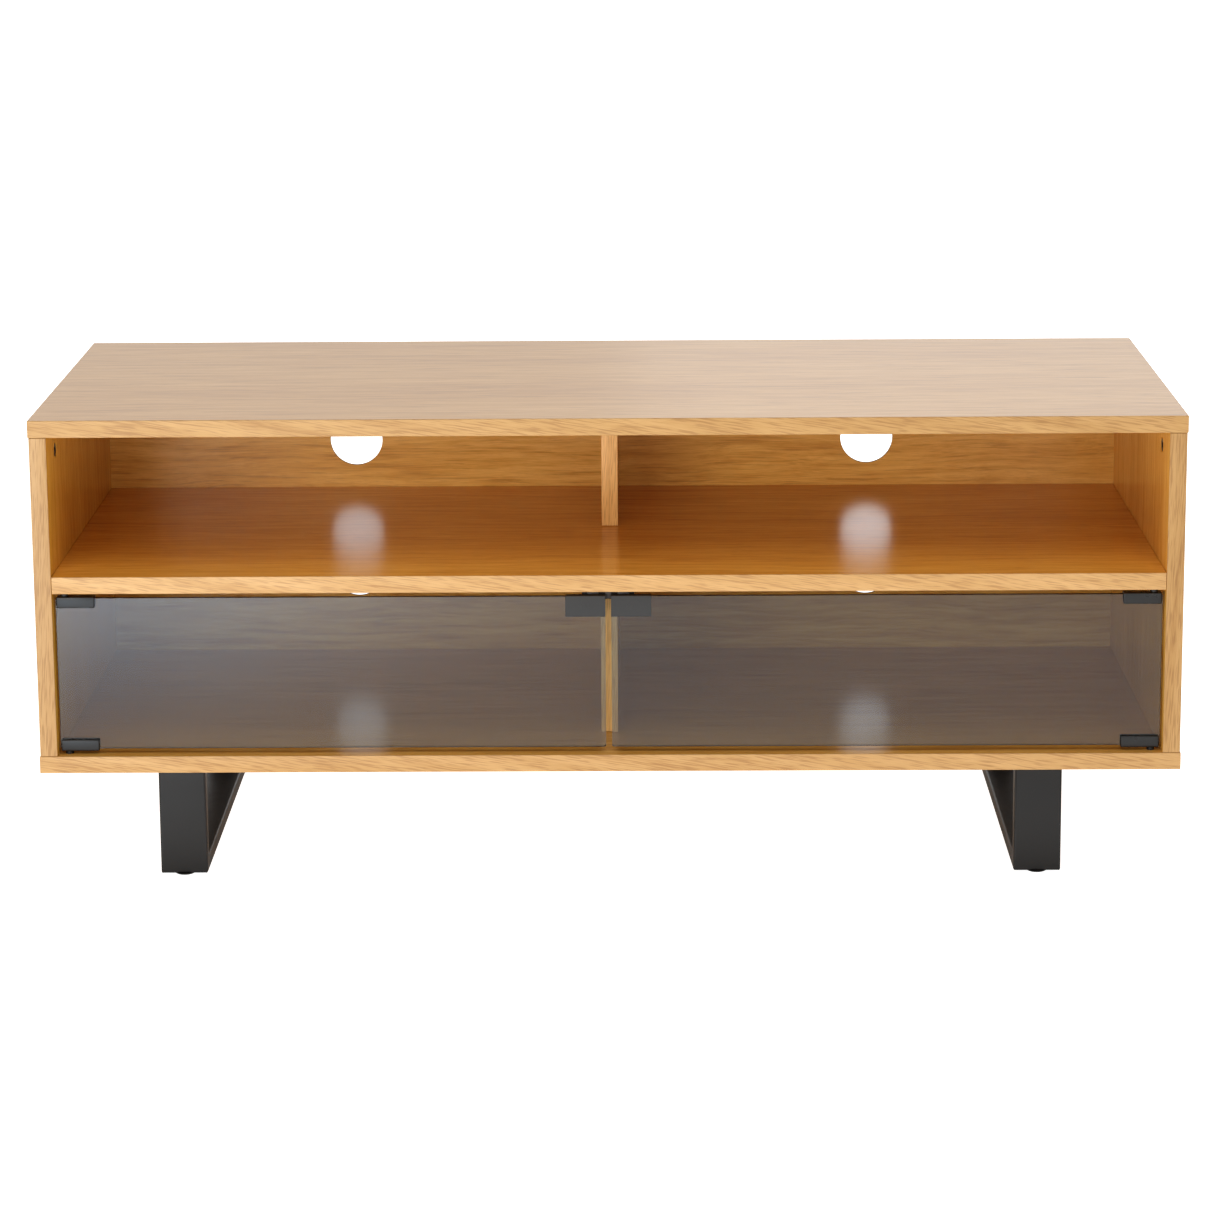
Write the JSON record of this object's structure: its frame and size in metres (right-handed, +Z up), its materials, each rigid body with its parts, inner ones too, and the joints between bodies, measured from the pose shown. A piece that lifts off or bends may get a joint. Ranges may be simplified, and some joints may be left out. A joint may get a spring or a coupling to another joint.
{
  "type": "media cabinet",
  "caption": "Low oak-effect media cabinet with an open divided shelf, smoked-glass push-latch doors, rear cable holes and black sled legs.",
  "frame": {"origin": "centre of the bounding box on the floor, between the glides' undersides", "axes": "+X across the width to the right as seen from the front, +Y from the glass doors towards the back panel, +Z up"},
  "size_m": [1.2, 0.45, 0.5],
  "materials": {
    "oak_board": "light oak-effect melamine on particle board, fine straight grain, satin",
    "back_board": "oak-effect melamine on thin fibreboard, satin",
    "smoked_glass": "smoked grey-brown tempered glass, polished",
    "black_metal": "black satin coated zinc casting",
    "strike_metal": "dark grey coated steel sheet",
    "black_plastic": "black moulded plastic",
    "plunger_plastic": "dark grey moulded plastic with a magnet head",
    "leg_metal": "charcoal satin powder coat on steel tube",
    "zinc": "bright zinc plating"
  },
  "bodies": {
    "cabinet": {"top_panel": "oak_board", "bottom_panel": "oak_board", "left_side_panel": "oak_board", "right_side_panel": "oak_board", "middle_shelf": "oak_board", "upper_divider": "oak_board", "lower_divider": "oak_board", "back_panel": "back_board", "left_front_cam_lock": "zinc", "left_front_cam_bolt": "zinc", "left_front_base_screw": "zinc", "left_rear_cam_lock": "zinc", "left_rear_cam_bolt": "zinc", "left_rear_base_screw": "zinc", "right_front_cam_lock": "zinc", "right_front_cam_bolt": "zinc", "right_front_base_screw": "zinc", "right_rear_cam_lock": "zinc", "right_rear_cam_bolt": "zinc", "right_rear_base_screw": "zinc", "left_lower_pivot_bush": "black_plastic", "left_upper_pivot_bush": "black_plastic", "right_lower_pivot_bush": "black_plastic", "right_upper_pivot_bush": "black_plastic", "latch_housing": "black_plastic", "left_latch_spring": "zinc", "right_latch_spring": "zinc", "front_latch_screw": "zinc", "rear_latch_screw": "zinc", "left_leg_frame": "leg_metal", "left_front_leg_screw": "zinc", "left_front_glide": "black_plastic", "left_rear_leg_screw": "zinc", "left_rear_glide": "black_plastic", "right_leg_frame": "leg_metal", "right_front_leg_screw": "zinc", "right_front_glide": "black_plastic", "right_rear_leg_screw": "zinc", "right_rear_glide": "black_plastic"},
    "left_door": {"left_door_glass": "smoked_glass", "left_lower_hinge_clip": "black_metal", "left_lower_hinge_pin": "zinc", "left_lower_clamp_screw": "zinc", "left_upper_hinge_clip": "black_metal", "left_upper_hinge_pin": "zinc", "left_upper_clamp_screw": "zinc", "left_strike_plate": "strike_metal"},
    "right_door": {"right_door_glass": "smoked_glass", "right_lower_hinge_clip": "black_metal", "right_lower_hinge_pin": "zinc", "right_lower_clamp_screw": "zinc", "right_upper_hinge_clip": "black_metal", "right_upper_hinge_pin": "zinc", "right_upper_clamp_screw": "zinc", "right_strike_plate": "strike_metal"},
    "left_plunger": {"left_latch_plunger": "plunger_plastic"},
    "right_plunger": {"right_latch_plunger": "plunger_plastic"}
  },
  "joints": [
    {"name": "left_door_hinge", "type": "hinge", "parent": "cabinet", "child": "left_door", "pos_m": [-0.57, -0.2105, 0.226], "axis": [0, 0, -1], "range_deg": [0, 105]},
    {"name": "right_door_hinge", "type": "hinge", "parent": "cabinet", "child": "right_door", "pos_m": [0.57, -0.2105, 0.226], "axis": [0, 0, 1], "range_deg": [0, 105]},
    {"name": "left_latch_push", "type": "slide", "parent": "cabinet", "child": "left_plunger", "axis": [0, 1, 0], "range_m": [0, 0.003], "stiffness_N_per_m": 300, "springref_m": -0.003, "deforming": ["left_latch_spring"]},
    {"name": "right_latch_push", "type": "slide", "parent": "cabinet", "child": "right_plunger", "axis": [0, 1, 0], "range_m": [0, 0.003], "stiffness_N_per_m": 300, "springref_m": -0.003, "deforming": ["right_latch_spring"]}
  ]
}
